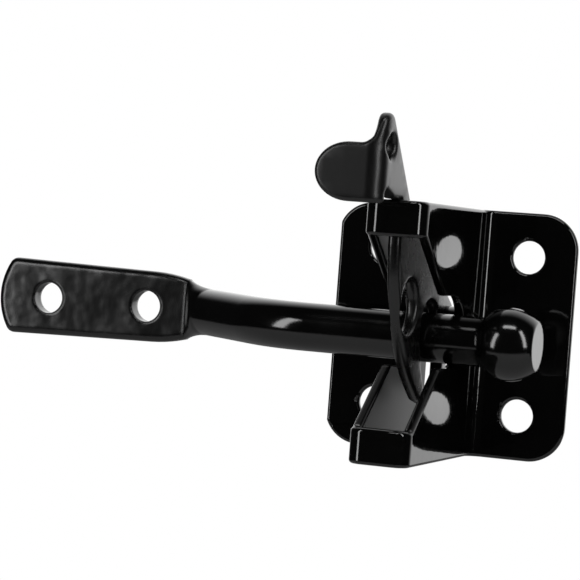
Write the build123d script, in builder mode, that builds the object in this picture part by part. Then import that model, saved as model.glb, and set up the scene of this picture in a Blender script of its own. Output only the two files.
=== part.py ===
from build123d import *
import math
import os

os.makedirs("parts", exist_ok=True)

# Frame: X runs along the width of the post plate, Y runs back into the post and
# Z is up. The post's face is the plane Y = 0. X = 0 and Z = 0 are the plate's centre.

# Post bracket: one pressed sheet, a channel with two flanges.
sheet = 2.4
plate_width = 60.7
plate_height = 60.5
plate_corner_radius = 9.0
plate_left_trim = 0.8
screw_hole_dia = 8.0
screw_pitch_x = 36.5
screw_pitch_z = 38.8
channel_width = 14.6
channel_depth = 56.3
bend_inner_radius = 1.4

# Mouth and slot cut through the web and both walls of the channel.
mouth_height = 43.8
slot_height = 17.1
slot_centre_z = 0.45
slot_end_depth = 16.7
mouth_straight = 3.8
mouth_throat_depth = 33.7
throat_radius = 16.0

# Lever pivot.
pivot_y = -9.5
pivot_z = 1.0
rivet_dia = 6.0
rivet_head_dia = 8.4
rivet_head_height = 1.3
lever_running_gap = 0.05
side_gap = 0.05
rest_gap = 0.03
spacer_dia = 10.4
fixed_gap = 0.02

# Latch lever: one cut and bent sheet.
lever_sheet = 3.0
lever_right_x = 1.0
lever_eye_radius = 7.2
notch_radius = 7.2
talon_inner_radius = 20.6
padlock_hole_dia = 12.7
padlock_hole_y = -41.5
padlock_hole_z = 6.0
pull_hole_dia = 5.5
pull_hole_back = 1.2
pull_hole_drop = 4.3
arm_tip_radius = 3.1
arm_tip_back = 5.0
arm_tip_rise = 15.85
arm_shoulder_drop = 1.1
tab_left_x = -15.2
tab_front_y = -70.0
tab_height = 13.3
tab_end_length = 8.0
tab_bottom_drop = 1.35
tab_bend_inner = 1.0
underside_reach = 3.5
underside_rise = 2.3

# Strike bar: one forged piece, a round rod with a ball end and a flat for two screws.
rod_dia = 11.8
rod_y = -23.5
rod_z = -1.35
ball_dia = 17.6
ball_x = 20.9
ball_end_x = 27.5
ball_neck_radius = 1.4
ball_end_radius = 0.5
bar_flat_thickness = 4.2
bar_flat_z = -0.4
bar_flat_left_x = -122.5
bar_flat_left_width = 19.65
bar_flat_right_width = 18.1
bar_flat_bulge = 3.2
bar_flat_corner_radius = 2.5
bar_flat_edge_radius = 1.7
bar_flat_back_radius = 1.2
bar_shoulder_length = 9.2
bar_shoulder_width = 15.4
bar_hole_dia = 8.0
bar_hole_pitch = 27.5
bar_hole_end_distance = 14.3
bar_bend_start_x = -29.0
bar_bend_radius = 28.0
bar_bend_angle = 37.0

# Derived sizes.
bend_outer_radius = bend_inner_radius + sheet
wall_outer_x = channel_width / 2
wall_inner_x = wall_outer_x - sheet
web_outer_y = -channel_depth
web_inner_y = web_outer_y + sheet
top_z = plate_height / 2
slot_half = slot_height / 2
slot_top_z = slot_centre_z + slot_half
slot_bottom_z = slot_centre_z - slot_half
mouth_half = mouth_height / 2
slot_centre_y = -slot_end_depth - slot_half
mouth_corner_y = web_outer_y + mouth_straight
mouth_throat_y = -mouth_throat_depth
rivet_radius = rivet_dia / 2
lever_left_x = lever_right_x - lever_sheet
tab_back_y = tab_front_y + lever_sheet
tab_bend_outer = tab_bend_inner + lever_sheet
tab_bottom_z = top_z - tab_bottom_drop
tab_top_z = tab_bottom_z + tab_height
rest_z = top_z + rest_gap


# Post bracket.
hat_points = [
    (-plate_width / 2, -sheet),
    (-wall_outer_x, -sheet),
    (-wall_outer_x, web_outer_y),
    (wall_outer_x, web_outer_y),
    (wall_outer_x, -sheet),
    (plate_width / 2, -sheet),
    (plate_width / 2, 0),
    (wall_inner_x, 0),
    (wall_inner_x, web_inner_y),
    (-wall_inner_x, web_inner_y),
    (-wall_inner_x, 0),
    (-plate_width / 2, 0),
]
inner_bends = [hat_points[1], hat_points[4], hat_points[8], hat_points[9]]
outer_bends = [hat_points[2], hat_points[3], hat_points[7], hat_points[10]]


def vertices_at(vertices, points):
    found = []
    for vertex in vertices:
        for px, py in points:
            if abs(vertex.X - px) < 1e-6 and abs(vertex.Y - py) < 1e-6:
                found.append(vertex)
    return found


with BuildPart() as post_bracket:
    with BuildSketch(Plane.XY) as hat:
        with BuildLine():
            Polyline(*hat_points, close=True)
        make_face()
        fillet(vertices_at(hat.vertices(), inner_bends), bend_inner_radius)
        fillet(vertices_at(hat.vertices(), outer_bends), bend_outer_radius)
    extrude(amount=plate_height / 2, both=True)

    # Mouth: straight through the web, narrowing to the slot that stops the bar.
    with BuildSketch(Plane.YZ) as mouth:
        with BuildLine():
            upper = Polyline(
                (web_outer_y - 5, -mouth_half),
                (web_outer_y - 5, mouth_half),
                (mouth_corner_y, mouth_half),
                (mouth_throat_y, slot_top_z),
                (slot_centre_y, slot_top_z),
            )
            ThreePointArc(
                (slot_centre_y, slot_top_z),
                (-slot_end_depth, slot_centre_z),
                (slot_centre_y, slot_bottom_z),
            )
            lower = Polyline(
                (slot_centre_y, slot_bottom_z),
                (mouth_throat_y, slot_bottom_z),
                (mouth_corner_y, -mouth_half),
                (web_outer_y - 5, -mouth_half),
            )
        make_face()
    throat = [
        vertex
        for vertex in mouth.vertices()
        if abs(vertex.Y - mouth_throat_y) < 1e-6
    ]
    mouth_face = mouth.sketch.faces()[0]
    mouth_face = mouth_face.fillet_2d(throat_radius, throat)
    extrude(mouth_face, amount=channel_width, both=True, mode=Mode.SUBTRACT)

    # Screw holes in the flanges.
    with BuildSketch(Plane.XZ) as screws:
        with GridLocations(screw_pitch_x, screw_pitch_z, 2, 2):
            Circle(screw_hole_dia / 2)
    extrude(amount=sheet * 2, both=True, mode=Mode.SUBTRACT)

    # Rivet holes in both walls.
    with BuildSketch(Plane.YZ):
        with Locations((pivot_y, pivot_z)):
            Circle(rivet_radius + fixed_gap)
    extrude(amount=channel_width, both=True, mode=Mode.SUBTRACT)

    # Rounded flange corners. The left side is sheared a little inside the rounding.
    with BuildSketch(Plane.XZ) as blank:
        with Locations((-plate_left_trim / 2, 0)):
            RectangleRounded(
                plate_width + plate_left_trim,
                plate_height,
                plate_corner_radius,
            )
    extrude(amount=channel_depth * 2, both=True, mode=Mode.INTERSECT)

post_bracket.part.label = "post_bracket"
export_step(post_bracket.part, "parts/post_bracket.step")


# Pivot rivet: a shank between two low heads on the walls' outer faces.
rivet_head_x = wall_outer_x + rivet_head_height
rivet_edge_x = wall_outer_x + rivet_head_height / 2
rivet_face_radius = rivet_head_dia / 2 - rivet_head_height / 2
with BuildPart() as pivot_rivet:
    with BuildSketch(Plane.XY):
        with BuildLine():
            Polyline(
                (-rivet_head_x, 0),
                (rivet_head_x, 0),
                (rivet_head_x, rivet_face_radius),
                (rivet_edge_x, rivet_head_dia / 2),
                (wall_outer_x, rivet_head_dia / 2),
                (wall_outer_x, rivet_radius),
                (-wall_outer_x, rivet_radius),
                (-wall_outer_x, rivet_head_dia / 2),
                (-rivet_edge_x, rivet_head_dia / 2),
                (-rivet_head_x, rivet_face_radius),
                close=True,
            )
        make_face()
    revolve(axis=Axis.X)
pivot_rivet_solid = pivot_rivet.part.moved(Location((0, pivot_y, pivot_z)))
pivot_rivet_solid.label = "pivot_rivet"
export_step(pivot_rivet_solid, "parts/pivot_rivet.step")


# Spacers that keep the lever in the middle of the channel.
with BuildPart() as left_spacer:
    with BuildSketch(Plane.YZ.offset(-wall_inner_x)):
        with Locations((pivot_y, pivot_z)):
            Circle(spacer_dia / 2)
            Circle(rivet_radius + fixed_gap, mode=Mode.SUBTRACT)
    extrude(amount=lever_left_x - side_gap + wall_inner_x)
left_spacer.part.label = "left_spacer"
export_step(left_spacer.part, "parts/left_spacer.step")

with BuildPart() as right_spacer:
    with BuildSketch(Plane.YZ.offset(lever_right_x + side_gap)):
        with Locations((pivot_y, pivot_z)):
            Circle(spacer_dia / 2)
            Circle(rivet_radius + fixed_gap, mode=Mode.SUBTRACT)
    extrude(amount=wall_inner_x - lever_right_x - side_gap)
right_spacer.part.label = "right_spacer"
export_step(right_spacer.part, "parts/right_spacer.step")


# Latch lever. Its outline is drawn in (Y, Z): the arm leans out over the web, the cam
# edge faces the gate, and the hook, notch and rear prong close round the rod.
web_clear_y = web_inner_y + 0.5
arm_tip_y = tab_front_y + arm_tip_back
arm_tip_z = top_z + arm_tip_rise
arm_shoulder_z = arm_tip_z - arm_shoulder_drop
cam_points = [
    (web_clear_y, 20.0),
    (-52.4, 14.0),
    (-49.6, 6.4),
    (-46.2, -0.4),
    (-39.3, -8.6),
    (-28.0, -16.4),
]
hook_tip = (-23.4, -17.3)
prong_bottom_z = -14.4
prong_front_top = (-11.9, -6.0)
prong_front_bottom = (-11.4, prong_bottom_z)
prong_back_y = -6.4
back_knee = (-43.2, 26.8)

# Tangent from the knee to the top of the pivot eye.
knee_dy = back_knee[0] - pivot_y
knee_dz = back_knee[1] - pivot_z
knee_distance = math.hypot(knee_dy, knee_dz)
knee_angle = math.atan2(knee_dz, knee_dy)
eye_top_angle = knee_angle - math.acos(lever_eye_radius / knee_distance)
eye_top = (
    pivot_y + lever_eye_radius * math.cos(eye_top_angle),
    pivot_z + lever_eye_radius * math.sin(eye_top_angle),
)

# The arm's straight back edge, tangent to its rounded tip.
back_dy = back_knee[0] - arm_tip_y
back_dz = back_knee[1] - arm_tip_z
back_distance = math.hypot(back_dy, back_dz)
back_angle = math.atan2(back_dz, back_dy)
tip_back_angle = back_angle + math.acos(arm_tip_radius / back_distance)
tip_back = (
    arm_tip_y + arm_tip_radius * math.cos(tip_back_angle),
    arm_tip_z + arm_tip_radius * math.sin(tip_back_angle),
)

# The arm's front edge above the tab, tangent to the same tip.
front_dy = tab_front_y - arm_tip_y
front_dz = arm_shoulder_z - arm_tip_z
front_distance = math.hypot(front_dy, front_dz)
front_angle = math.atan2(front_dz, front_dy) % (2 * math.pi)
tip_front_angle = front_angle - math.acos(arm_tip_radius / front_distance)
tip_front = (
    arm_tip_y + arm_tip_radius * math.cos(tip_front_angle),
    arm_tip_z + arm_tip_radius * math.sin(tip_front_angle),
)
tip_middle_angle = (tip_front_angle + tip_back_angle) / 2
tip_middle = (
    arm_tip_y + arm_tip_radius * math.cos(tip_middle_angle),
    arm_tip_z + arm_tip_radius * math.sin(tip_middle_angle),
)
eye_foot_z = pivot_z - math.sqrt(lever_eye_radius ** 2 - (prong_back_y - pivot_y) ** 2)

tab_root_x = lever_left_x - 0.5
tab_root_radius = 2.0

with BuildPart() as latch_lever:
    with BuildSketch(Plane.YZ.offset(lever_left_x)) as profile:
        with BuildLine():
            Polyline(
                (web_clear_y, rest_z),
                (web_outer_y - underside_reach, rest_z),
                (tab_back_y, rest_z + underside_rise),
                (tab_back_y, tab_bottom_z),
                (tab_front_y, tab_bottom_z),
                (tab_front_y, arm_shoulder_z),
                tip_front,
            )
            ThreePointArc(tip_front, tip_middle, tip_back)
            Line(tip_back, back_knee)
            Line(back_knee, eye_top)
            ThreePointArc(
                eye_top,
                (pivot_y + lever_eye_radius, pivot_z),
                (prong_back_y, eye_foot_z),
            )
            Polyline(
                (prong_back_y, eye_foot_z),
                (prong_back_y, prong_bottom_z),
                prong_front_bottom,
                hook_tip,
                cam_points[-1],
            )
            Spline(*reversed(cam_points))
            Line(cam_points[0], (web_clear_y, rest_z))
        make_face()
        with BuildSketch(Plane.XY, mode=Mode.PRIVATE) as gap:
            with Locations((pivot_y, pivot_z)):
                Circle(talon_inner_radius)
            with BuildLine():
                Polyline(
                    (web_outer_y, 0.1),
                    (prong_front_top[0], 0.1),
                    prong_front_top,
                    (prong_front_bottom[0], -top_z),
                    (web_outer_y, -top_z),
                    close=True,
                )
            make_face(mode=Mode.INTERSECT)
            with Locations((rod_y - 0.3, rod_z + 1.6)):
                Circle(notch_radius)
            with Locations((pivot_y, pivot_z)):
                Circle(lever_eye_radius, mode=Mode.SUBTRACT)
        add(gap.sketch_local, mode=Mode.SUBTRACT)
        with Locations((pivot_y, pivot_z)):
            Circle(rivet_radius + lever_running_gap, mode=Mode.SUBTRACT)
        with Locations((padlock_hole_y, padlock_hole_z)):
            Circle(padlock_hole_dia / 2, mode=Mode.SUBTRACT)
        with Locations((arm_tip_y + pull_hole_back, arm_tip_z - pull_hole_drop)):
            Circle(pull_hole_dia / 2, mode=Mode.SUBTRACT)
    extrude(amount=lever_sheet)

    # Thumb tab: bent to the left from the arm's front edge.
    with BuildSketch(Plane.XZ.offset(-tab_back_y)) as tab:
        with BuildLine():
            Line(
                (lever_right_x, tab_bottom_z),
                (tab_left_x + tab_end_length, tab_bottom_z),
            )
            EllipticalCenterArc(
                (tab_left_x + tab_end_length, (tab_bottom_z + tab_top_z) / 2),
                tab_end_length,
                tab_height / 2,
                start_angle=90,
                arc_size=180,
            )
            Line(
                (tab_left_x + tab_end_length, tab_top_z),
                (tab_root_x - tab_root_radius, tab_top_z),
            )
            ThreePointArc(
                (tab_root_x - tab_root_radius, tab_top_z),
                (
                    tab_root_x - tab_root_radius * (1 - math.sin(math.pi / 4)),
                    tab_top_z + tab_root_radius * (1 - math.cos(math.pi / 4)),
                ),
                (tab_root_x, tab_top_z + tab_root_radius),
            )
            Polyline(
                (tab_root_x, tab_top_z + tab_root_radius),
                (lever_left_x, arm_shoulder_z),
                (lever_right_x, arm_shoulder_z),
                (lever_right_x, tab_bottom_z),
            )
        make_face()
    extrude(amount=lever_sheet)

    # Round the outside of the bend, and fill its inside corner.
    with BuildSketch(Plane.XY.offset(tab_bottom_z - lever_sheet)):
        with Locations((
            lever_right_x - tab_bend_outer / 2,
            tab_front_y + tab_bend_outer / 2,
        )):
            Rectangle(tab_bend_outer, tab_bend_outer)
        with Locations((lever_right_x - tab_bend_outer, tab_front_y + tab_bend_outer)):
            Circle(tab_bend_outer, mode=Mode.SUBTRACT)
    extrude(amount=arm_tip_z - tab_bottom_z + 3 * lever_sheet, mode=Mode.SUBTRACT)
    with BuildSketch(Plane.XY.offset(rest_z + underside_rise)):
        with Locations((
            lever_left_x - tab_bend_inner / 2,
            tab_back_y + tab_bend_inner / 2,
        )):
            Rectangle(tab_bend_inner, tab_bend_inner)
        with Locations((lever_left_x - tab_bend_inner, tab_back_y + tab_bend_inner)):
            Circle(tab_bend_inner, mode=Mode.SUBTRACT)
    extrude(amount=tab_top_z - rest_z - underside_rise)

latch_lever.part.label = "latch_lever"
export_step(latch_lever.part, "parts/latch_lever.step")


# Strike bar. The rod runs straight through the mouth, bends back towards the gate and
# flattens into a plate that lies against the gate.
bar_drop = bar_flat_z - rod_z
bar_hole_left_x = bar_flat_left_x + bar_hole_end_distance
bar_hole_right_x = bar_hole_left_x + bar_hole_pitch
ball_end_half = math.sqrt((ball_dia / 2) ** 2 - (ball_end_x - ball_x) ** 2)
ball_neck_x = ball_x - math.sqrt((ball_dia / 2) ** 2 - (rod_dia / 2) ** 2)
rod_end_x = ball_neck_x - ball_neck_radius * 3
flat_centre_y = -bar_flat_thickness / 2
bar_rise = math.atan2(bar_drop, flat_centre_y - rod_y)
bend_plane = Plane(
    origin=(0, rod_y, rod_z),
    x_dir=(1, 0, 0),
    z_dir=(0, -math.sin(bar_rise), math.cos(bar_rise)),
)
offset_total = math.hypot(bar_drop, flat_centre_y - rod_y)
theta = math.radians(bar_bend_angle)
bend_end = (
    bar_bend_start_x - bar_bend_radius * math.sin(theta),
    bar_bend_radius * (1 - math.cos(theta)),
)
bend_middle = (
    bar_bend_start_x - bar_bend_radius * math.sin(theta / 2),
    bar_bend_radius * (1 - math.cos(theta / 2)),
)
root_x = bend_end[0] - (offset_total - bend_end[1]) / math.tan(theta)
bar_flat_right_x = root_x - rod_dia / 4
shoulder_x = bar_flat_right_x - bar_shoulder_length
neck_length = 4.6
neck_end = (
    root_x + neck_length,
    offset_total - neck_length * math.tan(theta),
)


def rounded_section(half_width, half_depth, power, count=16):
    points = []
    for index in range(count):
        angle = 2 * math.pi * index / count
        c = math.cos(angle)
        s = math.sin(angle)
        points.append((
            math.copysign(abs(c) ** (2 / power), c) * half_width,
            math.copysign(abs(s) ** (2 / power), s) * half_depth,
        ))
    return points


flat_left_half = bar_flat_left_width / 2
flat_right_half = bar_flat_right_width / 2
shoulder_half = bar_shoulder_width / 2
flat_left_start = bar_flat_left_x + bar_flat_bulge
side_run = shoulder_x - flat_left_start
side_slope = (flat_right_half - flat_left_half) / side_run

# Flat: hammered out of the rod's end, narrowing over a shoulder towards the neck.
with BuildPart() as bar_flat:
    with BuildSketch(Plane.XZ):
        with BuildLine():
            Line(
                (flat_left_start, bar_flat_z + flat_left_half),
                (shoulder_x, bar_flat_z + flat_right_half),
            )
            TangentArc(
                (shoulder_x, bar_flat_z + flat_right_half),
                (bar_flat_right_x, bar_flat_z + shoulder_half),
                tangent=(1, side_slope),
            )
            Line(
                (bar_flat_right_x, bar_flat_z + shoulder_half),
                (bar_flat_right_x, bar_flat_z - shoulder_half),
            )
            TangentArc(
                (shoulder_x, bar_flat_z - flat_right_half),
                (bar_flat_right_x, bar_flat_z - shoulder_half),
                tangent=(1, -side_slope),
            )
            Line(
                (shoulder_x, bar_flat_z - flat_right_half),
                (flat_left_start, bar_flat_z - flat_left_half),
            )
            ThreePointArc(
                (flat_left_start, bar_flat_z - flat_left_half),
                (bar_flat_left_x, bar_flat_z),
                (flat_left_start, bar_flat_z + flat_left_half),
            )
        make_face()
    extrude(amount=bar_flat_thickness)
    left_corners = (
        bar_flat.edges()
        .filter_by(Axis.Y)
        .filter_by(lambda edge: edge.center().X < flat_left_start + 0.1)
    )
    fillet(left_corners, bar_flat_corner_radius)
    front = bar_flat.faces().sort_by(Axis.Y)[0]
    front_edges = front.edges().filter_by(
        lambda edge: edge.center().X < bar_flat_right_x - 0.1
    )
    fillet(front_edges, bar_flat_edge_radius)
    back = bar_flat.faces().sort_by(Axis.Y)[-1]
    back_edges = back.edges().filter_by(
        lambda edge: edge.center().X < bar_flat_right_x - 0.1
    )
    fillet(back_edges, bar_flat_back_radius)

with BuildPart() as strike_bar:
    # Straight rod, bend and slope down to the flat.
    with BuildLine(bend_plane) as path:
        Line(neck_end, bend_end)
        ThreePointArc(bend_end, bend_middle, (bar_bend_start_x, 0))
        Line((bar_bend_start_x, 0), (rod_end_x, 0))
    rod_start = Plane(origin=path.line @ 0, z_dir=path.line % 0, x_dir=(0, 0, 1))
    with BuildSketch(rod_start):
        Circle(rod_dia / 2)
    sweep(path=path.line)

    # Neck that spreads from the round rod to the flat.
    with BuildSketch(Plane(
        origin=(bar_flat_right_x, flat_centre_y, bar_flat_z),
        z_dir=(1, 0, 0),
        x_dir=(0, 0, 1),
    )):
        with BuildLine():
            Spline(
                *rounded_section(shoulder_half, bar_flat_thickness / 2, 5),
                periodic=True,
            )
        make_face()
    with BuildSketch(Plane(
        origin=(root_x + rod_dia / 8, flat_centre_y - rod_dia / 4.5, bar_flat_z),
        z_dir=(math.cos(theta / 2), -math.sin(theta / 2), 0),
        x_dir=(0, 0, 1),
    )):
        with BuildLine():
            Spline(
                *rounded_section(rod_dia * 0.525, rod_dia * 0.41, 2.2),
                periodic=True,
            )
        make_face()
    with BuildSketch(rod_start):
        Circle(rod_dia / 2)
    loft()

    # Ball end with its turned face.
    with BuildSketch(Plane(origin=(0, rod_y, rod_z), x_dir=(1, 0, 0), z_dir=(0, 0, 1))) as ball:
        with BuildLine():
            Polyline(
                (ball_end_x, ball_end_half),
                (ball_end_x, 0),
                (rod_end_x, 0),
                (rod_end_x, rod_dia / 2),
                (ball_neck_x, rod_dia / 2),
            )
            ThreePointArc(
                (ball_neck_x, rod_dia / 2),
                (ball_x, ball_dia / 2),
                (ball_end_x, ball_end_half),
            )
        make_face()
        fillet(
            [v for v in ball.vertices() if abs(v.Y - rod_dia / 2) < 1e-6 and v.X > rod_end_x + 1],
            ball_neck_radius,
        )
        fillet(
            [v for v in ball.vertices() if v.X > ball_end_x - 1e-6 and v.Y > 1],
            ball_end_radius,
        )
    revolve(axis=Axis((0, rod_y, rod_z), (1, 0, 0)))

    # Flat with two screw holes; its back and the neck's lie in one plane.
    add(bar_flat.part)
    with Locations((root_x, rod_dia / 2, bar_flat_z)):
        Box(rod_dia * 3, rod_dia, rod_dia * 3, mode=Mode.SUBTRACT)
    with BuildSketch(Plane.XZ):
        with Locations((bar_hole_left_x, bar_flat_z), (bar_hole_right_x, bar_flat_z)):
            Circle(bar_hole_dia / 2)
    extrude(amount=bar_flat_thickness * 3, both=True, mode=Mode.SUBTRACT)

strike_bar.part.label = "strike_bar"
export_step(strike_bar.part, "parts/strike_bar.step")
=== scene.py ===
"""Looks for an automatic gate latch: gloss black coating, studio light and camera."""

from __future__ import annotations

import logging
import math
from dataclasses import dataclass, field
from enum import Enum
from functools import cached_property
from typing import Callable

import bmesh
import bpy
import numpy as np
from mathutils import Matrix, Vector
from mathutils.geometry import delaunay_2d_cdt


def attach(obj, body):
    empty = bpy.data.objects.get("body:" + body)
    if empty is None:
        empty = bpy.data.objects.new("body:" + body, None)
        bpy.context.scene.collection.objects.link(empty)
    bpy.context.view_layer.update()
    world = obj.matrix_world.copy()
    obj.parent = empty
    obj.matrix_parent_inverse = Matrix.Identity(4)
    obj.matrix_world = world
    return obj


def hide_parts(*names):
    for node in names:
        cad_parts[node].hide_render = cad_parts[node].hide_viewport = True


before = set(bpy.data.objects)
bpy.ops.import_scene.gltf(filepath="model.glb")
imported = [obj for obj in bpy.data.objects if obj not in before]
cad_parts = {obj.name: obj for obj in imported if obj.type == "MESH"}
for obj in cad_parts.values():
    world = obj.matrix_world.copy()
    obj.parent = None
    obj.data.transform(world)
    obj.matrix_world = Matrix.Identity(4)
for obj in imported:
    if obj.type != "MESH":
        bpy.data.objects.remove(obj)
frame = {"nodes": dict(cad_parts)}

logging.basicConfig(level=logging.INFO, format="%(message)s")
LOG = logging.getLogger("gate_latch")

MM = 0.001
WHITE = (1.0, 1.0, 1.0, 1.0)
NOISE_SPAN = (0.3, 0.7)
ARC_RUN_DEG = 6.0
CORNER_RUN_DEG = 8.0
LEAST_TURN = 1e-4
LEAST_RISE = 1e-12
POINTS_AT_ONCE = 400

Node = bpy.types.Node
Output = tuple[Node, str | int]
Pair = tuple[float, float]
Triple = tuple[float, float, float]


class Surface(Enum):
    """How a piece of the latch was made before it was coated."""

    PRESSED_SHEET = "pressed_sheet"
    BENT_LEVER = "bent_lever"
    FORGED_BAR = "forged_bar"
    TURNED_PIN = "turned_pin"


class Graph:
    """A small helper that adds and joins shader nodes in one tree."""

    def __init__(self, owner: bpy.types.Material | bpy.types.World) -> None:
        """Start with an empty tree.

        Args:
            owner: The material or world whose nodes are made.
        """
        owner.use_nodes = True
        self.tree = owner.node_tree
        self.tree.nodes.clear()

    @cached_property
    def place(self) -> Node:
        """The coordinate node, which is added when it is first asked for."""
        return self.add("ShaderNodeTexCoord")

    def add(self, kind: str, **values: object) -> Node:
        """Add a node and set its input sockets.

        Args:
            kind: The node's Blender type.
            values: Socket values, with underscores for the spaces in a socket's name.

        Returns:
            The new node.
        """
        node = self.tree.nodes.new(kind)
        for name, value in values.items():
            node.inputs[name.replace("_", " ")].default_value = value
        return node

    def join(
        self, source: Node, output: str | int, target: Node, socket: str | int
    ) -> None:
        """Link one node's output to another node's input.

        Args:
            source: The node that gives the value.
            output: Its output's name or number.
            target: The node that takes the value.
            socket: Its input's name or number.
        """
        self.tree.links.new(source.outputs[output], target.inputs[socket])

    def noise(self, size: float, detail: float, contrast: float = 0.5) -> Node:
        """Add a noise pattern in object space.

        Args:
            size: Width of one lump, in metres.
            detail: Number of finer layers.
            contrast: How rough the finer layers are, from 0 to 1.

        Returns:
            The noise node.
        """
        node = self.add(
            "ShaderNodeTexNoise", Scale=1.0 / size, Detail=detail, Roughness=contrast
        )
        self.join(self.place, "Object", node, "Vector")
        return node

    def axes(self) -> Node:
        """Split a place on the object into its three coordinates.

        Returns:
            The node whose outputs are X, Y and Z.
        """
        node = self.add("ShaderNodeSeparateXYZ")
        self.join(self.place, "Object", node, "Vector")
        return node

    def spread(
        self,
        source: Node,
        output: str | int,
        from_range: Pair,
        to_range: Pair,
        smooth: bool = False,
    ) -> Node:
        """Carry a value from one range to another.

        Args:
            source: The node that gives the value.
            output: Its output's name or number.
            from_range: Lowest and highest value that comes in.
            to_range: What those two become.
            smooth: Whether the change eases in and out.

        Returns:
            The map range node.
        """
        node = self.add(
            "ShaderNodeMapRange",
            From_Min=from_range[0],
            From_Max=from_range[1],
            To_Min=to_range[0],
            To_Max=to_range[1],
        )
        node.interpolation_type = "SMOOTHSTEP" if smooth else "LINEAR"
        self.join(source, output, node, "Value")
        return node

    def maths(self, operation: str, first: Output, second: Output | float) -> Node:
        """Combine two values.

        Args:
            operation: The math node's operation.
            first: The first value's node and output.
            second: The second value's node and output, or a plain number.

        Returns:
            The math node.
        """
        node = self.add("ShaderNodeMath")
        node.operation = operation
        self.join(first[0], first[1], node, 0)
        if isinstance(second, tuple):
            self.join(second[0], second[1], node, 1)
        else:
            node.inputs[1].default_value = second
        return node


@dataclass(frozen=True)
class BlackCoating:
    """Gloss black powder coat: a faint ripple over slow waves, and duller patches.

    The tone drifts between its low and its high value from cloud to cloud. The
    roughness drifts too, between its value times the low and the high share.
    """

    name: str
    colour_low: float = 0.0011
    colour_high: float = 0.0022
    cloud_size: float = 16.0 * MM
    roughness: float = 0.09
    dull_roughness: float = 0.30
    smear_size: float = 9.0 * MM
    smear_low_share: float = 0.75
    smear_high_share: float = 1.3
    refraction: float = 1.52
    edge_radius: float = 0.4 * MM
    edge_samples: int = 12
    ripple_size: float = 2.4 * MM
    ripple_depth: float = 0.010 * MM
    wave_size: float = 11.0 * MM
    wave_depth: float = 0.030 * MM

    def build(self) -> bpy.types.Material:
        """Make the node material.

        Returns:
            The finished material.
        """
        material = bpy.data.materials.new(self.name)
        graph = Graph(material)
        output = graph.add("ShaderNodeOutputMaterial")
        shader = graph.add(
            "ShaderNodeBsdfPrincipled", Metallic=0.0, IOR=self.refraction
        )
        graph.join(shader, "BSDF", output, "Surface")

        cloud = graph.noise(self.cloud_size, detail=3.0)
        tones = (self.colour_low, self.colour_high)
        shade = graph.spread(cloud, "Fac", NOISE_SPAN, tones)
        tone = graph.add("ShaderNodeCombineColor")
        for channel in ("Red", "Green", "Blue"):
            graph.join(shade, "Result", tone, channel)
        graph.join(tone, "Color", shader, "Base Color")

        smear = graph.noise(self.smear_size, detail=4.0, contrast=0.6)
        smears = (
            self.roughness * self.smear_low_share,
            self.roughness * self.smear_high_share,
        )
        gloss = graph.spread(smear, "Fac", NOISE_SPAN, smears)
        dull = self._dull_area(graph)
        if dull is None:
            graph.join(gloss, "Result", shader, "Roughness")
        else:
            blend = graph.add("ShaderNodeMix")
            graph.join(dull[0], dull[1], blend, 0)
            graph.join(gloss, "Result", blend, 2)
            blend.inputs[3].default_value = self.dull_roughness
            graph.join(blend, 0, shader, "Roughness")

        edge = graph.add("ShaderNodeBevel", Radius=self.edge_radius)
        edge.samples = self.edge_samples
        wave = graph.noise(self.wave_size, detail=1.0)
        ripple = graph.noise(self.ripple_size, detail=2.0)
        last = self._bump(graph, edge, wave, self.wave_depth)
        last = self._bump(graph, last, ripple, self.ripple_depth)
        last = self._marks(graph, last)
        graph.join(last, "Normal", shader, "Normal")
        return material

    def _bump(self, graph: Graph, below: Node, height: Node, depth: float) -> Node:
        """Lay one bump over the normal of the node below.

        Args:
            graph: The material's node helper.
            below: The node whose normal is bent.
            height: The pattern, whose first output is its height.
            depth: Height of the pattern from 0 to 1, in metres.

        Returns:
            The bump node.
        """
        bump = graph.add("ShaderNodeBump", Strength=1.0, Distance=depth)
        graph.join(height, 0, bump, "Height")
        graph.join(below, "Normal", bump, "Normal")
        return bump

    def _dull_area(self, graph: Graph) -> Output | None:
        """Say where the coating is duller; the plain coating is the same all over.

        Args:
            graph: The material's node helper.

        Returns:
            A node and output that is 1 where it is dull, or None.
        """
        return None

    def _marks(self, graph: Graph, below: Node) -> Node:
        """Lay tool marks over the coating; the plain coating has none.

        Args:
            graph: The material's node helper.
            below: The node whose normal is bent.

        Returns:
            The last node that bends the normal.
        """
        return below


@dataclass(frozen=True)
class SheetCoating(BlackCoating):
    """The bracket's coating, which lies thinner and duller inside the channel."""

    channel_half_gap: float = 4.95 * MM
    web_back_y: float = -53.95 * MM

    def _dull_area(self, graph: Graph) -> Output | None:
        """Mark the faces between the channel's walls.

        Args:
            graph: The material's node helper.

        Returns:
            A node and output that is 1 inside the channel.
        """
        axes = graph.axes()
        across = graph.maths("ABSOLUTE", (axes, "X"), 0.0)
        between = graph.maths("LESS_THAN", (across, "Value"), self.channel_half_gap)
        behind = graph.maths("GREATER_THAN", (axes, "Y"), self.web_back_y)
        return graph.maths("MULTIPLY", (between, "Value"), (behind, "Value")), "Value"


@dataclass(frozen=True)
class LeverCoating(BlackCoating):
    """The lever's coating, which is duller where hands lift it."""

    handled_from_z: float = 26.0 * MM
    handled_to_z: float = 32.0 * MM

    def _dull_area(self, graph: Graph) -> Output | None:
        """Mark the arm and the thumb tab, above the bracket.

        Args:
            graph: The material's node helper.

        Returns:
            A node and output that is 1 on the arm and the tab.
        """
        axes = graph.axes()
        heights = (self.handled_from_z, self.handled_to_z)
        return graph.spread(axes, "Z", heights, (0.0, 1.0), smooth=True), "Result"


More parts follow.
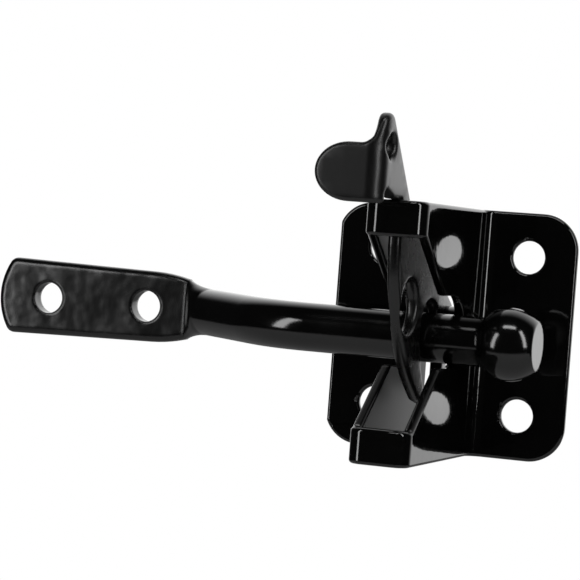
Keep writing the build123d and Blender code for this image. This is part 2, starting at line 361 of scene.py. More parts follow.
@dataclass(frozen=True)
class ForgedCoating(BlackCoating):
    """The bar's coating, with hammer marks and a duller skin on its flat end."""

    dent_size: float = 9.0 * MM
    dent_depth: float = 0.40 * MM
    dent_contrast: float = 0.45
    flat_start_x: float = -62.0 * MM
    flat_end_x: float = -70.0 * MM

    def _flat(self, graph: Graph) -> Node:
        """Mark the flat, fading out towards the round rod.

        Args:
            graph: The material's node helper.

        Returns:
            The map range node, whose result is 1 on the flat.
        """
        axes = graph.axes()
        ends = (self.flat_start_x, self.flat_end_x)
        return graph.spread(axes, "X", ends, (0.0, 1.0), smooth=True)

    def _dull_area(self, graph: Graph) -> Output | None:
        """Mark the flat as duller than the rod.

        Args:
            graph: The material's node helper.

        Returns:
            A node and output that is 1 on the flat.
        """
        return self._flat(graph), "Result"

    def _marks(self, graph: Graph, below: Node) -> Node:
        """Lay hammer marks over the flat.

        Args:
            graph: The material's node helper.
            below: The node whose normal is bent.

        Returns:
            The bump node.
        """
        flat = self._flat(graph)
        marks = graph.noise(self.dent_size, detail=2.0, contrast=self.dent_contrast)
        height = graph.maths("MULTIPLY", (marks, "Fac"), (flat, "Result"))
        return self._bump(graph, below, height, self.dent_depth)


def densified(
    loop: np.ndarray, step: float, bends: tuple[Pair, ...], margin: float = 1.0
) -> np.ndarray:
    """Split a closed line's long sides into short ones.

    Each side is cut into equal runs no longer than the step, or than half the step
    where the sheet is bent.

    Args:
        loop: Corner points, one a row.
        step: Longest run that is left, in mm.
        bends: Ranges of the first coordinate in which the sheet is bent.
        margin: How far beyond a bend the runs are short too, in mm.

    Returns:
        The same line with more points.
    """
    rows = []
    for start, end in zip(loop, np.roll(loop, -1, axis=0)):
        middle = (start[0] + end[0]) / 2.0
        bent = any(low - margin <= middle <= high + margin for low, high in bends)
        longest = step / 2.0 if bent else step
        count = max(1, math.ceil(float(np.linalg.norm(end - start)) / longest))
        share = np.linspace(0.0, 1.0, count, endpoint=False)[:, None]
        rows.append(start + (end - start) * share)
    return np.concatenate(rows)


def rounded_loop(corners: list[Triple]) -> np.ndarray:
    """Draw a closed outline from its corners.

    A corner with a radius becomes an arc that touches both of its sides, at a distance
    of the radius times the tangent of half the turn. A line that hardly turns there
    keeps a plain corner.

    Args:
        corners: Each corner's two coordinates and its radius, in mm.

    Returns:
        The outline's points, one a row.
    """
    places = np.array([corner[:2] for corner in corners])
    rows = []
    for index, (_, _, radius) in enumerate(corners):
        here = places[index]
        before = here - places[index - 1]
        after = places[(index + 1) % len(places)] - here
        before = before / np.linalg.norm(before)
        after = after / np.linalg.norm(after)
        cross = before[0] * after[1] - before[1] * after[0]
        turn = math.atan2(cross, float(before @ after))
        if radius <= 0.0 or abs(turn) < LEAST_TURN:
            rows.append(here[None, :])
            continue
        reach = radius * math.tan(abs(turn) / 2.0)
        start = here - before * reach
        inward = np.array([-before[1], before[0]]) * math.copysign(1.0, turn)
        centre = start + inward * radius
        first = math.atan2(*(start - centre)[::-1])
        count = max(3, math.ceil(abs(turn) / math.radians(CORNER_RUN_DEG)))
        angle = first + np.linspace(0.0, turn, count + 1)
        rows.append(centre + radius * np.stack([np.cos(angle), np.sin(angle)], axis=1))
    return np.concatenate(rows)


def circle_loop(centre: Pair, radius: float, count: int = 48) -> np.ndarray:
    """Draw a circle: its centre plus the radius times cosine and sine.

    Args:
        centre: Its centre, in mm.
        radius: Its radius, in mm.
        count: Number of points.

    Returns:
        The circle's points, one a row.
    """
    angle = np.linspace(0.0, 2.0 * math.pi, count, endpoint=False)
    return np.array(centre) + radius * np.stack([np.cos(angle), np.sin(angle)], axis=1)


def turned_left(loop: np.ndarray, left: bool) -> np.ndarray:
    """Order a closed line so that it runs round to the left, or to the right.

    The sign of the area, from the shoelace sum, says which way it runs.

    Args:
        loop: The line's points.
        left: Whether it should run to the left.

    Returns:
        The line's points in that order.
    """
    ahead = np.roll(loop, -1, axis=0)
    area = float((loop[:, 0] * ahead[:, 1] - loop[:, 1] * ahead[:, 0]).sum())
    return loop if (area > 0.0) == left else loop[::-1]


def batches(count: int) -> list[np.ndarray]:
    """Split row numbers into lots that are small enough to work on at once.

    Args:
        count: Number of rows.

    Returns:
        The row numbers of each lot.
    """
    return np.array_split(np.arange(count), count // POINTS_AT_ONCE + 1)


def edge_distance(points: np.ndarray, loops: list[np.ndarray]) -> np.ndarray:
    """Measure how far points lie from the nearest outline.

    Each point is dropped onto every side, clamped to the side's ends, and the shortest
    gap is kept.

    Args:
        points: The points, one a row.
        loops: The closed outlines.

    Returns:
        One distance for each point.
    """
    starts = np.concatenate(loops)
    runs = np.concatenate([np.roll(loop, -1, axis=0) for loop in loops]) - starts
    squares = (runs**2).sum(axis=1)
    best = np.empty(len(points))
    for rows in batches(len(points)):
        gaps = points[rows][:, None, :] - starts
        share = np.clip((gaps * runs).sum(axis=2) / squares, 0.0, 1.0)
        gaps -= share[:, :, None] * runs
        best[rows] = np.sqrt((gaps**2).sum(axis=2).min(axis=1))
    return best


def inside(points: np.ndarray, loops: list[np.ndarray]) -> np.ndarray:
    """Say which points lie in the material.

    A ray from such a point to the right crosses an odd number of sides.

    Args:
        points: The points, one a row.
        loops: The outline and the holes.

    Returns:
        True or false for each point.
    """
    starts = np.concatenate(loops)
    ends = np.concatenate([np.roll(loop, -1, axis=0) for loop in loops])
    rise = ends[:, 1] - starts[:, 1]
    rise[rise == 0.0] = LEAST_RISE
    found = np.empty(len(points), dtype=bool)
    for rows in batches(len(points)):
        x = points[rows][:, None, 0]
        y = points[rows][:, None, 1]
        spans = (starts[:, 1] > y) != (ends[:, 1] > y)
        cross = starts[:, 0] + (y - starts[:, 1]) / rise * (ends[:, 0] - starts[:, 0])
        found[rows] = (spans & (x < cross)).sum(axis=1) % 2 == 1
    return found


def added(name: str, data: bpy.types.ID) -> bpy.types.Object:
    """Make an object and add it to the scene.

    Args:
        name: The object's name.
        data: Its mesh, lamp or camera.

    Returns:
        The new object.
    """
    made = bpy.data.objects.new(name, data)
    bpy.context.scene.collection.objects.link(made)
    return made


@dataclass
class SheetBlank:
    """A flat blank with rounded cut edges, which is bent into its shape.

    Its sizes are in mm. The step is the longest run along an outline, the grid is the
    gap between points far from it, and the rings are those that round the edges. A
    ring point or a grid point that comes too near to another outline is left out.
    """

    outline: np.ndarray
    holes: list[np.ndarray]
    thickness: float
    rounding: float
    bends: tuple[Pair, ...]
    step: float = 0.7
    grid: float = 2.4
    rings: int = 6
    bend_columns: int = 17
    ring_clearance: float = 0.97
    grid_clearance: float = 0.4
    outline_slack: float = 1e-7

    def build(
        self, name: str, bent: Callable[[np.ndarray], np.ndarray]
    ) -> bpy.types.Object:
        """Make the bent sheet.

        Half the thickness at a point is full away from the edges. Within the rounding of
        an edge it falls off along a quarter circle. Both faces share one triangulation,
        and a narrow band joins them along every outline.

        Args:
            name: The piece's name.
            bent: Carries rows of (along, up, out) in mm to rows of x, y, z in mm.

        Returns:
            The new object.
        """
        loops = [turned_left(densified(self.outline, self.step, self.bends), True)]
        for hole in self.holes:
            loops.append(turned_left(densified(hole, self.step, self.bends), False))
        points, sides = self._points(loops)
        faces = self._triangles(points, sides, loops)
        distance = edge_distance(points, loops)
        distance[: len(sides)] = 0.0
        share = np.clip(1.0 - distance / self.rounding, 0.0, 1.0)
        half = self.thickness / 2.0 - self.rounding * (1.0 - np.sqrt(1.0 - share**2))
        over = np.column_stack([points, half])
        under = np.column_stack([points, -half])
        placed = bent(np.concatenate([over, under])) * MM
        under_faces = faces[:, ::-1] + len(points)
        band = np.column_stack([sides + len(points), sides[:, ::-1]])
        mesh = bpy.data.meshes.new(name)
        mesh.from_pydata(
            placed.tolist(), [], faces.tolist() + under_faces.tolist() + band.tolist()
        )
        mesh.validate()
        mesh.shade_smooth()
        LOG.info("formed %s with %d faces", name, len(mesh.polygons))
        return added(name, mesh)

    def _points(self, loops: list[np.ndarray]) -> tuple[np.ndarray, np.ndarray]:
        """Lay out the blank's points: the outlines, rings inside them, and a grid.

        Args:
            loops: The outline and the holes.

        Returns:
            The points, and each outline side as two point numbers.
        """
        sides = []
        rims = []
        start = 0
        for loop in loops:
            number = np.arange(len(loop))
            sides.append(np.column_stack([number, np.roll(number, -1)]) + start)
            start += len(loop)
            run = np.roll(loop, -1, axis=0) - np.roll(loop, 1, axis=0)
            run /= np.linalg.norm(run, axis=1)[:, None]
            inward = np.column_stack([-run[:, 1], run[:, 0]])
            for ring in range(1, self.rings + 1):
                lean = math.pi / 2.0 * ring / self.rings
                depth = self.rounding * (1.0 - math.cos(lean))
                rim = loop + inward * depth
                rims.append(np.column_stack([rim, np.full(len(rim), depth)]))
        ring_points = np.concatenate(rims)
        far = edge_distance(ring_points[:, :2], loops)
        kept = far > ring_points[:, 2] * self.ring_clearance
        ring_points = ring_points[kept][:, :2]
        grid_points = self._grid(loops[0])
        grid_points = grid_points[inside(grid_points, loops)]
        far = edge_distance(grid_points, loops)
        grid_points = grid_points[far > self.rounding + self.step * self.grid_clearance]
        points = np.concatenate([np.concatenate(loops), ring_points, grid_points])
        return points, np.concatenate(sides)

    def _grid(self, outline: np.ndarray) -> np.ndarray:
        """Lay a grid over the blank, with closer columns where it is bent.

        Args:
            outline: The outer line.

        Returns:
            The grid's points.
        """
        low = outline.min(axis=0)
        high = outline.max(axis=0)
        across = np.arange(low[0], high[0], self.grid)
        for start, end in self.bends:
            straight = across[(across < start) | (across > end)]
            close = np.linspace(start, end, self.bend_columns)
            across = np.sort(np.concatenate([straight, close]))
        upward = np.arange(low[1], high[1], self.grid)
        return np.array(np.meshgrid(across, upward)).reshape(2, -1).T

    def _triangles(
        self, points: np.ndarray, sides: np.ndarray, loops: list[np.ndarray]
    ) -> np.ndarray:
        """Join the points into triangles that keep to the outlines.

        Args:
            points: The blank's points.
            sides: The outlines' sides as point numbers.
            loops: The outline and the holes.

        Returns:
            Three point numbers for each triangle, running to the left.
        """
        places = [Vector(point) for point in points.tolist()]
        within_sides = 1
        result = delaunay_2d_cdt(
            places, sides.tolist(), [], within_sides, self.outline_slack
        )
        numbers = np.array([origins[0] for origins in result[3]])
        faces = numbers[np.array(result[2])]
        centres = points[faces].mean(axis=1)
        return faces[inside(centres, loops)]


def arc_points(
    centre: Pair, radius: float, first: float, last: float, height: float = 1.0
) -> list[Triple]:
    """Draw an arc: its centre plus the radius times cosine and sine.

    Args:
        centre: Its centre, in mm.
        radius: Its radius along the blank, in mm.
        first: Angle where it starts, in degrees.
        last: Angle where it ends, in degrees.
        height: Its radius upwards, as a share of the other.

    Returns:
        The arc's points, as corners without a radius.
    """
    count = max(3, math.ceil(abs(last - first) / ARC_RUN_DEG))
    angle = np.radians(np.linspace(first, last, count + 1))
    across = centre[0] + radius * np.cos(angle)
    upward = centre[1] + radius * height * np.sin(angle)
    return [(float(a), float(b), 0.0) for a, b in zip(across, upward)]


def curve_points(knots: tuple[Pair, ...], count: int = 8) -> list[Triple]:
    """Draw a smooth curve through points, as a chain of cubics.

    The parameter grows with the straight distance from point to point. Slope and
    curvature run on from one cubic to the next, and the curvature is zero at the ends.

    Args:
        knots: The points that it passes.
        count: Number of runs between two of them.

    Returns:
        The curve's points, as corners without a radius.
    """
    given = np.array(knots)
    gaps = np.linalg.norm(np.diff(given, axis=0), axis=1)
    rise = np.diff(given, axis=0) / gaps[:, None]
    inner = np.diag(2.0 * (gaps[:-1] + gaps[1:]))
    inner += np.diag(gaps[1:-1], 1) + np.diag(gaps[1:-1], -1)
    curving = np.zeros_like(given)
    curving[1:-1] = np.linalg.solve(inner, 6.0 * np.diff(rise, axis=0))
    share = np.linspace(0.0, 1.0, count, endpoint=False)[None, :, None]
    left = 1.0 - share
    span = gaps[:, None, None] ** 2 / 6.0
    rows = left * given[:-1, None] + share * given[1:, None]
    rows = rows + (left**3 - left) * span * curving[:-1, None]
    rows = rows + (share**3 - share) * span * curving[1:, None]
    rows = np.concatenate([rows.reshape(-1, 2), given[-1:]])
    return [(float(a), float(b), 0.0) for a, b in rows]


def touch_angle(centre: Pair, radius: float, point: Pair, side: float) -> float:
    """Find where a line from a point touches a circle.

    The angle is that of the point, seen from the centre, plus or minus the arc cosine
    of the radius over the distance.

    Args:
        centre: The circle's centre.
        radius: Its radius.
        point: The point that the line starts from.
        side: 1 for the place to the left of the point, seen from the centre, or -1.

    Returns:
        The angle about the centre, in degrees from 0 to 360.
    """
    run = np.array(point) - np.array(centre)
    lean = math.atan2(run[1], run[0])
    lean += side * math.acos(radius / float(np.linalg.norm(run)))
    return math.degrees(lean) % 360.0


@dataclass
class CoatedPart:
    """One piece of the latch, how its edges are rounded and how its coating looks.

    The rounding and the weld are in metres, and the turns are in radians.
    """

    node: str
    surface: Surface
    coating: BlackCoating
    body: str = "fixed"
    rounding: float = 0.0
    rounding_segments: int = 5
    weld: float = 0.002 * MM
    sharp_turn: float = math.radians(35.0)
    flat_turn: float = math.radians(0.4)

    def dress(self, nodes: dict[str, bpy.types.Object]) -> None:
        """Put the coating on every face of the piece, and round its edges.

        Args:
            nodes: The CAD objects by name.
        """
        material = bpy.data.materials.get(self.coating.name) or self.coating.build()
        for slot in nodes[self.node].material_slots:
            slot.material = material
        if self.rounding > 0.0:
            self._round_edges(nodes[self.node], material)
        LOG.info("dressed %s as %s", self.node, self.surface.value)

    def _stand_in(self, piece: bpy.types.Object) -> None:
        """Let a new piece move with its body and stand for the CAD object.

        Args:
            piece: The new piece.
        """
        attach(piece, self.body)
        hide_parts(self.node)

    def _round_edges(
        self, source: bpy.types.Object, material: bpy.types.Material
    ) -> None:
        """Make the piece again with its sharp edges rounded.

        The corners are welded and flat faces are joined. Then each edge that turns by
        more than the sharp turn becomes part of a circle of the rounding's radius.

        Args:
            source: The CAD object.
            material: The coating.
        """
        work = bmesh.new()
        work.from_mesh(source.data)
        bmesh.ops.remove_doubles(work, verts=work.verts, dist=self.weld)
        bmesh.ops.dissolve_limit(
            work, angle_limit=self.flat_turn, verts=work.verts, edges=work.edges
        )
        mesh = bpy.data.meshes.new(self.node + "_skin")
        work.to_mesh(mesh)
        work.free()
        for layer in ("custom_normal", "sharp_edge", "sharp_face"):
            found = mesh.attributes.get(layer)
            if found is not None:
                mesh.attributes.remove(found)
        places = np.empty(len(mesh.vertices) * 3, dtype=np.float32)
        mesh.vertices.foreach_get("co", places)
        eased = self._eased(places.reshape(-1, 3).astype(float))
        mesh.vertices.foreach_set("co", eased.astype(np.float32).ravel())
        mesh.materials.clear()
        mesh.materials.append(material)
        mesh.shade_smooth()
        piece = added(self.node + "_skin", mesh)
        bevel = piece.modifiers.new("rounding", "BEVEL")
        bevel.width = self.rounding
        bevel.segments = self.rounding_segments
        bevel.limit_method = "ANGLE"
        bevel.angle_limit = self.sharp_turn
        bevel.use_clamp_overlap = False
        bevel.harden_normals = True
        self._stand_in(piece)

    def _eased(self, points: np.ndarray) -> np.ndarray:
        """Ease the piece's bends; a plain piece stays as it is.

        Args:
            points: The piece's points, in metres.

        Returns:
            The points after that.
        """
        return points


@dataclass
class PostBracket(CoatedPart):
    """The pressed channel with two flanges that is screwed to the post.

    A point belongs to a bend when its distance from the bend's axis is that of the
    inner or the outer face within the slack.
    """

    node: str = "post_bracket"
    surface: Surface = Surface.PRESSED_SHEET
    coating: BlackCoating = SheetCoating(
        "black_coat_sheet", roughness=0.05, dull_roughness=0.50, ripple_depth=0.013 * MM
    )
    rounding: float = 0.9 * MM
    wall_outer_x: float = 7.3 * MM
    sheet: float = 2.4 * MM
    pressed_radius: float = 1.4 * MM
    eased_radius: float = 2.6 * MM
    bend_slack: float = 0.03 * MM
    side_slack: float = 0.01 * MM

    def _eased(self, points: np.ndarray) -> np.ndarray:
        """Give the bends between the walls and the flanges a larger radius.

        A point on either side of such a bend keeps its angle about the bend's axis. The
        axis moves away from both faces by what the radius gains.

        Args:
            points: The bracket's points, in metres.

        Returns:
            The points with wider bends, in metres.
        """
        gain = self.eased_radius - self.pressed_radius
        axis_x = self.wall_outer_x + self.pressed_radius
        axis_y = -self.sheet - self.pressed_radius
        side = np.sign(points[:, 0])
        across = np.abs(points[:, 0]) - axis_x
        deep = points[:, 1] - axis_y
        reach = np.hypot(across, deep)
        near = np.abs(reach - self.pressed_radius) < self.bend_slack
        near |= np.abs(reach - self.pressed_radius - self.sheet) < self.bend_slack
        near &= (across < self.side_slack) & (deep > -self.side_slack)
        wider = (reach + gain) / np.maximum(reach, self.pressed_radius)
        eased = points.copy()
        eased[near, 0] = (side * (axis_x + gain + across * wider))[near]
        eased[near, 1] = (axis_y - gain + deep * wider)[near]
        return eased


@dataclass
class HookLever(CoatedPart):
    """The cut and bent lever that closes over the bar.

    It is bent from a flat blank. A place on the blank is (along, up): along is the
    lever's y as far as the bend, and up is its z. The lever's own sizes are in mm.
    """

    node: str = "latch_lever"
    surface: Surface = Surface.BENT_LEVER
    coating: BlackCoating = LeverCoating(
        "black_coat_lever", roughness=0.26, dull_roughness=0.34
    )
    body: str = "lever"
    sheet: float = 3.0
    middle_x: float = -0.5
    edge_rounding: float = 1.15
    bend_start_y: float = -66.0
    bend_middle_radius: float = 2.5
    rest_z: float = 30.28
    rest_radius: float = 0.8
    web_clear_y: float = -53.4
    under_front_y: float = -59.8
    under_radius: float = 3.0
    tab_foot_along: float = -66.0
    tab_foot_z: float = 32.2
    tab_foot_radius: float = 0.8
    tab_left_x: float = -15.2
    tab_bottom_z: float = 28.9
    tab_bottom_radius: float = 0.9
    tab_top_z: float = 42.2
    tab_end_length: float = 8.0
    root_along: float = -69.6
    root_radius: float = 3.0
    tip_centre: Pair = (-65.0, 46.1)
    tip_radius: float = 3.1
    knee: Pair = (-43.2, 26.8)
    knee_radius: float = 2.0
    pivot: Pair = (-9.5, 1.0)
    eye_radius: float = 7.2
    rivet_hole_radius: float = 3.05
    prong_back_y: float = -6.4
    prong_bottom_z: float = -14.4
    prong_front_y: float = -11.9
    prong_lean: float = 0.17
    prong_radius: float = 0.6
    notch_centre: Pair = (-23.8, 0.25)
    notch_radius: float = 7.2
    talon_radius: float = 20.6
    talon_foot_y: float = -11.4
    hook_tip: Pair = (-23.4, -17.3)
    hook_radius: float = 0.5
    cam_knots: tuple[Pair, ...] = (
        (-28.0, -16.4),
        (-39.3, -8.6),
        (-46.2, -0.4),
        (-49.6, 6.4),
        (-52.4, 14.0),
        (-53.4, 20.0),
    )
    padlock_hole: Triple = (-41.5, 6.0, 6.35)
    pull_hole: Triple = (-63.8, 41.8, 2.75)

    def dress(self, nodes: dict[str, bpy.types.Object]) -> None:
        """Coat the lever, and bend it from a blank with rounded cut edges.

        Args:
            nodes: The CAD objects by name.
        """
        super().dress(nodes)
        holes = [circle_loop(self.pivot, self.rivet_hole_radius)]
        for along, up, radius in (self.padlock_hole, self.pull_hole):
            holes.append(circle_loop((along, up), radius))
        blank = SheetBlank(
            outline=rounded_loop(self._outline()),
            holes=holes,
            thickness=self.sheet,
            rounding=self.edge_rounding,
            bends=((self._bend_end(), self.bend_start_y),),
        )
        piece = blank.build(self.node + "_skin", self._bent)
        piece.data.materials.append(bpy.data.materials[self.coating.name])
        self._stand_in(piece)

    def _bend_end(self) -> float:
        """Find where the bend ends on the blank, a quarter turn past its start.

        Returns:
            The place along the blank, in mm.
        """
        return self.bend_start_y - self.bend_middle_radius * math.pi / 2.0

    def _bent(self, flat: np.ndarray) -> np.ndarray:
        """Carry the blank to the lever's shape.

        Behind the bend's start the blank lies in the plane of the arm. From there it
        runs a quarter turn round the bend's axis, and then straight to the left.

        Args:
            flat: Rows of (along, up, out), in mm.

        Returns:
            Rows of x, y, z, in mm.
        """
        along, up, out = flat.T
        turn = (self.bend_start_y - along) / self.bend_middle_radius
        turn = np.clip(turn, 0.0, math.pi / 2.0)
        radius = self.bend_middle_radius + out
        before = np.maximum(along - self.bend_start_y, 0.0)
        beyond = np.maximum(self._bend_end() - along, 0.0)
        axis_x = self.middle_x - self.bend_middle_radius
        x = axis_x + radius * np.cos(turn) - beyond
        y = self.bend_start_y - radius * np.sin(turn) + before
        return np.column_stack([x, y, up])

    def _outline(self) -> list[Triple]:
        """Draw the blank's outline, from the underside round by the tip to the cam.

        Returns:
            Corners as (along, up, radius), in mm.
        """
        root = (self.root_along, self.tab_top_z)
        tip_front = touch_angle(self.tip_centre, self.tip_radius, root, -1.0)
        tip_back = touch_angle(self.tip_centre, self.tip_radius, self.knee, 1.0)
        eye_top = touch_angle(self.pivot, self.eye_radius, self.knee, -1.0)
        eye_foot = self._eye_angle(self.prong_back_y)
        prong_foot_y = self.prong_front_y + self.prong_lean
        return [
            (self.web_clear_y, self.rest_z, self.rest_radius),
            (self.under_front_y, self.rest_z, self.under_radius),
            (self.tab_foot_along, self.tab_foot_z, self.tab_foot_radius),
            (self.tab_foot_along, self.tab_bottom_z, self.tab_bottom_radius),
            *self._tab_end(),
            (*root, self.root_radius),
            *arc_points(self.tip_centre, self.tip_radius, tip_front, tip_back),
            (*self.knee, self.knee_radius),
            *arc_points(self.pivot, self.eye_radius, eye_top, eye_foot),
            (self.prong_back_y, self.prong_bottom_z, self.prong_radius),
            (prong_foot_y, self.prong_bottom_z, self.prong_radius),
            *self._notch(),
            (*self.hook_tip, self.hook_radius),
            *curve_points(self.cam_knots),
        ]

    def _tab_end(self) -> list[Triple]:
        """Draw the tab's end, half an ellipse from its bottom edge to its top edge.

        Returns:
            Corners as (along, up, radius), in mm.
        """
        axis_x = self.middle_x - self.bend_middle_radius
        along = self._bend_end() - (axis_x - self.tab_left_x) + self.tab_end_length
        centre = (along, (self.tab_bottom_z + self.tab_top_z) / 2.0)
        height = (self.tab_top_z - self.tab_bottom_z) / 2.0 / self.tab_end_length
        return arc_points(centre, self.tab_end_length, -90.0, -270.0, height)

    def _notch(self) -> list[Triple]:
        """Draw the front of the eye, the notch for the bar and the talon's inside.

        Each arc runs as far as its circle's crossing with the next one, which follows
        from the three sides of the triangle between the two centres and the crossing.
        Eye and notch have one radius, so their crossing lies half-way.

        Returns:
            Corners as (along, up, radius), in mm.
        """
        run = np.array(self.notch_centre) - np.array(self.pivot)
        reach = float(np.linalg.norm(run))
        facing = math.degrees(math.atan2(run[1], run[0])) % 360.0
        eye_side = math.degrees(math.acos(reach / 2.0 / self.eye_radius))
        squares = self.talon_radius**2 - self.notch_radius**2 + reach**2
        share = squares / (2.0 * reach)
        talon_side = math.degrees(math.acos(share / self.talon_radius))
        notch_side = math.degrees(math.acos((share - reach) / self.notch_radius))
        eye_from = self._eye_angle(self.prong_front_y)
        eye_to = facing - eye_side - 360.0
        notch_from = facing - 180.0 + eye_side
        notch_to = facing + notch_side
        talon_from = facing + talon_side
        return [
            *arc_points(self.pivot, self.eye_radius, eye_from, eye_to),
            *arc_points(self.notch_centre, self.notch_radius, notch_from, notch_to)[1:],
            *arc_points(self.pivot, self.talon_radius, talon_from, self._talon_end())[1:],
        ]

    def _eye_angle(self, along: float) -> float:
        """Find where the eye's lower half passes a place along the blank.

        Args:
            along: The place, in mm.

        Returns:
            The angle about the pivot, in degrees.
        """
        return -math.degrees(math.acos((along - self.pivot[0]) / self.eye_radius))

    def _talon_end(self) -> float:
        """Find where the talon's inside ends.

        It ends at the line from the prong's foot to the hook's tip, where that line
        leaves the talon's circle. The share of the line solves a quadratic equation.

        Returns:
            The angle about the pivot, in degrees.
        """
        foot = np.array([self.talon_foot_y, self.prong_bottom_z])
        run = np.array(self.hook_tip) - foot
        start = foot - np.array(self.pivot)
        a = float(run @ run)
        b = 2.0 * float(start @ run)
        c = float(start @ start) - self.talon_radius**2
        share = (-b + math.sqrt(b * b - 4.0 * a * c)) / (2.0 * a)
        place = start + run * share
        return math.degrees(math.atan2(place[1], place[0])) % 360.0


@dataclass
class StrikeBar(CoatedPart):
    """The forged bar with a ball end and a hammered flat."""

    node: str = "strike_bar"
    surface: Surface = Surface.FORGED_BAR
    coating: BlackCoating = ForgedCoating(
        "black_coat_bar", roughness=0.11, dull_roughness=0.21, edge_radius=1.3 * MM
    )


@dataclass
class LeverPivot:
    """The rivet that the lever turns on, with a spacer on each side of it."""

    nodes: tuple[str, ...] = ("pivot_rivet", "left_spacer", "right_spacer")
    coating: BlackCoating = BlackCoating("black_coat_pin", edge_radius=0.3 * MM)

    def dress(self, nodes: dict[str, bpy.types.Object]) -> None:
        """Put the coating on the rivet and the spacers.

        Args:
            nodes: The CAD objects by name.
        """
        for name in self.nodes:
            CoatedPart(name, Surface.TURNED_PIN, self.coating).dress(nodes)


def facing_from(
    target: Vector, azimuth: float, elevation: float, roll: float, distance: float
) -> Matrix:
    """Place something round a point so that it faces the point.

    The azimuth is 0 in front of the latch and grows to its right, and the elevation is
    the height above the horizon. The roll turns the thing about its line of sight.

    Args:
        target: The point that it faces, in metres.
        azimuth: In radians.
        elevation: In radians.
        roll: In radians.
        distance: How far it stands from the point, in metres.

    Returns:
        The matrix that places it.
    """
    away = Vector(
        (
            math.sin(azimuth) * math.cos(elevation),
            -math.cos(azimuth) * math.cos(elevation),
            math.sin(elevation),
        )
    )
    level = Vector((math.cos(azimuth), math.sin(azimuth), 0.0))
    upright = away.cross(level)
    side = level * math.cos(roll) + upright * math.sin(roll)
    top = upright * math.cos(roll) - level * math.sin(roll)
    spin = Matrix((side, top, away)).transposed().to_4x4()
    return Matrix.Translation(target + away * distance) @ spin


@dataclass(frozen=True)
class StripLight:
    """A soft lamp that is seen from the latch as a bright strip.

    Its place, its width and height and its tilt are angles in degrees, seen from the
    latch. The level is how bright it looks, and the distance is in metres.
    """

    name: str
    azimuth: float
    elevation: float
    wide: float
    high: float
    tilt: float = 0.0
    level: float = 8.0
    distance: float = 1.3

    def build(self, centre: Vector) -> None:
        """Hang the lamp so that it faces the latch.

        A width is twice the distance times the tangent of half its angle. The power is
        the level times pi times the area.

        Args:
            centre: The point that the lamp faces, in metres.
        """
        data = bpy.data.lights.new(self.name, "AREA")
        data.shape = "RECTANGLE"
        data.size = 2.0 * self.distance * math.tan(math.radians(self.wide) / 2.0)
        data.size_y = 2.0 * self.distance * math.tan(math.radians(self.high) / 2.0)
        data.energy = self.level * math.pi * data.size * data.size_y
        lamp = added(self.name, data)
        lamp.matrix_world = facing_from(
            centre,
            math.radians(self.azimuth),
            math.radians(self.elevation),
            math.radians(self.tilt),
            self.distance,
        )
        lamp.visible_camera = False
        LOG.info("hung %s", self.name)


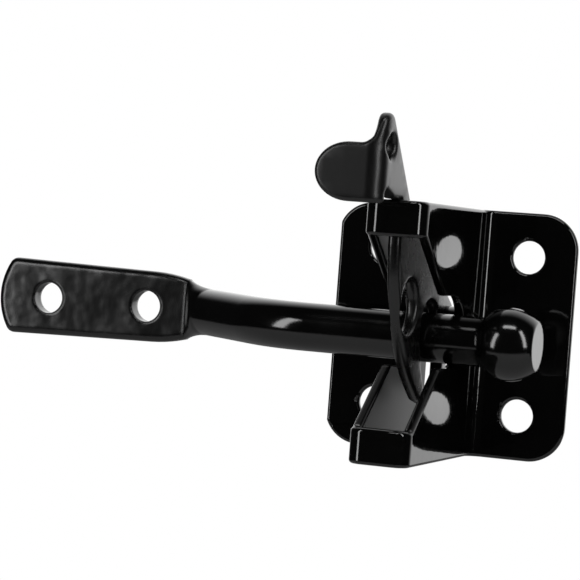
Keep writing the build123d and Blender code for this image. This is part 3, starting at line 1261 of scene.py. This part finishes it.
@dataclass
class Studio:
    """White floor, strip lights and world light round the latch.

    Lengths are in metres. The backdrop that the coating mirrors is bright on one side
    and fades to nearly black away from it. The fade is in cosines of the angle to the
    bright side, and the levels are those at its outer and inner end.
    """

    centre: Triple = (0.0, -20.0 * MM, 0.0)
    floor_z: float = -0.30
    floor_half_width: float = 0.95
    floor_front: float = 0.61
    floor_back: float = 1.3
    floor_tone: float = 0.8
    floor_glow: float = 0.45
    floor_front_points: int = 33
    bright_side: Triple = (0.0, 0.906, 0.423)
    mirrored_fade: Pair = (0.50, 0.95)
    mirrored_level: Pair = (0.015, 1.6)
    ambient_level: float = 0.10
    strips: tuple[StripLight, ...] = (
        StripLight("left_strip", -38.5, 10.0, 11.0, 42.0, tilt=-12.0, level=7.0),
        StripLight("right_strip", 56.5, 20.0, 9.5, 48.0, tilt=10.0),
        StripLight("top_strip", 5.0, 57.0, 34.0, 9.0),
    )

    def build(self) -> None:
        """Make the world, the floor and the lamps."""
        self._world()
        self._floor()
        for strip in self.strips:
            strip.build(Vector(self.centre))

    def _world(self) -> None:
        """Make the backdrop: white to the camera, and mostly dark in the coating."""
        world = bpy.data.worlds.new("studio_air")
        graph = Graph(world)
        output = graph.add("ShaderNodeOutputWorld")
        path = graph.add("ShaderNodeLightPath")
        toward = graph.add("ShaderNodeVectorMath")
        toward.operation = "DOT_PRODUCT"
        toward.inputs[1].default_value = self.bright_side
        graph.join(graph.place, "Generated", toward, 0)
        behind = graph.spread(
            toward, "Value", self.mirrored_fade, self.mirrored_level, smooth=True
        )
        mirrored = graph.add("ShaderNodeBackground", Color=WHITE)
        graph.join(behind, "Result", mirrored, "Strength")
        ambient = graph.add(
            "ShaderNodeBackground", Color=WHITE, Strength=self.ambient_level
        )
        seen = graph.add("ShaderNodeBackground", Color=WHITE, Strength=1.0)
        straight = graph.maths(
            "MAXIMUM", (path, "Is Camera Ray"), (path, "Is Transmission Ray")
        )
        inner = graph.add("ShaderNodeMixShader")
        graph.join(path, "Is Glossy Ray", inner, "Fac")
        graph.join(ambient, "Background", inner, 1)
        graph.join(mirrored, "Background", inner, 2)
        outer = graph.add("ShaderNodeMixShader")
        graph.join(straight, "Value", outer, "Fac")
        graph.join(inner, "Shader", outer, 1)
        graph.join(seen, "Background", outer, 2)
        graph.join(outer, "Shader", output, "Surface")
        bpy.context.scene.world = world

    def _floor(self) -> None:
        """Lay a pale floor with a rounded front, which glows a little to the camera.

        Its outline is half an ellipse in front, joined to a straight-sided rear part.
        """
        turn = np.linspace(math.pi, 2.0 * math.pi, self.floor_front_points)
        front = np.stack(
            [
                self.floor_half_width * np.cos(turn),
                self.floor_front * np.sin(turn),
                np.full_like(turn, self.floor_z),
            ],
            axis=1,
        )
        rear = np.array(
            [
                [self.floor_half_width, self.floor_back, self.floor_z],
                [-self.floor_half_width, self.floor_back, self.floor_z],
            ]
        )
        points = np.concatenate([front, rear])
        mesh = bpy.data.meshes.new("studio_floor")
        mesh.from_pydata(points.tolist(), [], [tuple(range(len(points)))])
        floor = added("studio_floor", mesh)
        material = bpy.data.materials.new("studio_white")
        graph = Graph(material)
        output = graph.add("ShaderNodeOutputMaterial")
        paint = graph.add("ShaderNodeBsdfDiffuse", Color=(*[self.floor_tone] * 3, 1.0))
        glow = graph.add("ShaderNodeEmission", Strength=self.floor_glow)
        lifted = graph.add("ShaderNodeAddShader")
        graph.join(paint, "BSDF", lifted, 0)
        graph.join(glow, "Emission", lifted, 1)
        path = graph.add("ShaderNodeLightPath")
        mix = graph.add("ShaderNodeMixShader")
        graph.join(path, "Is Camera Ray", mix, "Fac")
        graph.join(paint, "BSDF", mix, 1)
        graph.join(lifted, "Shader", mix, 2)
        graph.join(mix, "Shader", output, "Surface")
        mesh.materials.append(material)
        LOG.info("laid the studio floor")


@dataclass
class PhotoCamera:
    """Camera that stands where the photograph was taken from.

    Angles are in radians and lengths in metres, apart from the sensor's width in mm.
    The focal length is in pixels of the photograph.
    """

    azimuth: float = math.radians(19.52)
    elevation: float = math.radians(1.20)
    roll: float = math.radians(4.31)
    aim: Triple = (-43.34 * MM, 0.0, 6.67 * MM)
    distance: float = 631.9 * MM
    focal_pixels: float = 2500.0
    image_pixels: float = 580.0
    sensor: float = 36.0
    nearest: float = 0.01
    farthest: float = 20.0

    def build(self) -> None:
        """Place the camera and make it the scene's own."""
        data = bpy.data.cameras.new("photo_camera")
        data.sensor_width = self.sensor
        data.lens = self.focal_pixels / self.image_pixels * self.sensor
        data.clip_start = self.nearest
        data.clip_end = self.farthest
        camera = added("photo_camera", data)
        camera.matrix_world = facing_from(
            Vector(self.aim), self.azimuth, self.elevation, self.roll, self.distance
        )
        bpy.context.scene.camera = camera
        LOG.info("placed the camera")


@dataclass
class GateLatch:
    """The whole latch: its coated pieces, in the order in which they are dressed."""

    bracket: PostBracket = field(default_factory=PostBracket)
    lever: HookLever = field(default_factory=HookLever)
    bar: StrikeBar = field(default_factory=StrikeBar)
    pivot: LeverPivot = field(default_factory=LeverPivot)

    def dress(self, nodes: dict[str, bpy.types.Object]) -> None:
        """Coat every piece.

        Args:
            nodes: The CAD objects by name.
        """
        for piece in (self.bracket, self.lever, self.bar, self.pivot):
            piece.dress(nodes)


def main() -> None:
    """Place the camera, dress the latch and build the studio."""
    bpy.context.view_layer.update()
    PhotoCamera().build()
    GateLatch().dress(frame["nodes"])
    Studio().build()
    bpy.context.scene.view_settings.view_transform = "Standard"


if __name__ == "__main__":
    main()
